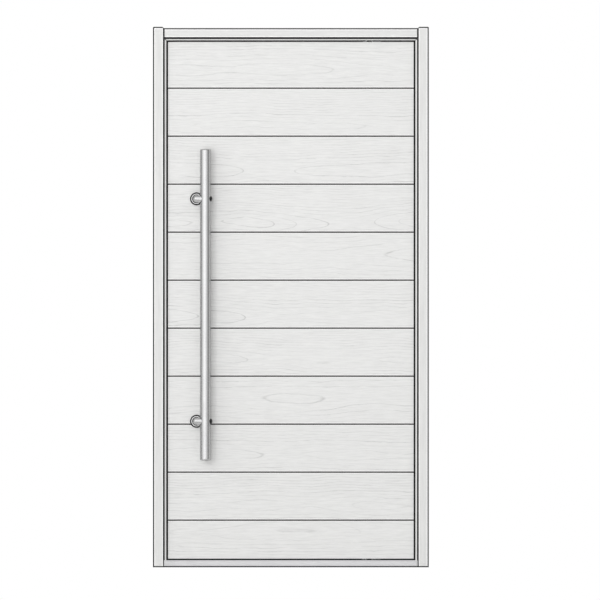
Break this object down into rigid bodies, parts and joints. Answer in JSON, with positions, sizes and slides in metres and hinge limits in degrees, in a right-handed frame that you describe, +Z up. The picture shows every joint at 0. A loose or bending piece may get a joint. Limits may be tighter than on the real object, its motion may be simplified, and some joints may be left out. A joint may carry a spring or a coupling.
{
  "type": "pivot entry door",
  "caption": "Framed entry door whose boarded leaf turns on an offset upright pivot, with long tubular pull bars.",
  "frame": {"origin": "middle of the threshold's underside, with Y = 0 on the leaf's middle plane", "axes": "+Z up, +Y inward through the doorway, +X to the right seen from outside"},
  "size_m": [1.24, 0.2522, 2.43],
  "materials": {
    "frame_paint": "smooth satin paint on timber",
    "board_finish": "pale stained boards with raised grain",
    "leaf_edge_paint": "dark satin paint on timber stiles and rails, seen in the leaf's gaps",
    "leaf_core_board": "light insulated core, hidden between the boards",
    "sill_metal": "satin anodised",
    "seal_rubber": "matt black",
    "pivot_steel": "turned and blackened steel",
    "bar_steel": "satin stainless steel, brushed along its length",
    "cap_black": "black domed cap"
  },
  "bodies": {
    "frame": {"jamb_left": "frame_paint", "jamb_right": "frame_paint", "head": "frame_paint", "threshold": "sill_metal", "bead_left": "frame_paint", "bead_right": "frame_paint", "bead_head": "frame_paint", "stop_left": "frame_paint", "stop_right": "frame_paint", "stop_head": "frame_paint", "stop_head_heel": "frame_paint", "stop_sill_heel": "frame_paint", "pivot_base": "pivot_steel", "top_socket": "pivot_steel", "gaskets": "seal_rubber"},
    "leaf": {"bar_ends_in": "bar_steel", "bar_ends_out": "bar_steel", "board_out_01": "board_finish", "board_out_02": "board_finish", "board_out_03": "board_finish", "board_out_04": "board_finish", "board_out_05": "board_finish", "board_out_06": "board_finish", "board_out_07": "board_finish", "board_out_08": "board_finish", "board_out_09": "board_finish", "board_out_10": "board_finish", "board_out_11": "board_finish", "boards_in": "board_finish", "caps_in": "cap_black", "caps_out": "cap_black", "core": "leaf_core_board", "drop_seal": "seal_rubber", "pivot_shoe": "pivot_steel", "posts_in": "bar_steel", "posts_out": "bar_steel", "pull_bar_in": "bar_steel", "pull_bar_out": "bar_steel", "rail_bottom": "leaf_edge_paint", "rail_top": "leaf_edge_paint", "rosettes_in": "bar_steel", "rosettes_out": "bar_steel", "stile_heel": "leaf_edge_paint", "stile_lock": "leaf_edge_paint", "top_pin": "pivot_steel"}
  },
  "joints": [
    {"name": "leaf_pivot", "type": "hinge", "parent": "frame", "child": "leaf", "pos_m": [0.352, 0, 0.06], "axis": [0, 0, 1], "range_deg": [-95, 0]}
  ]
}
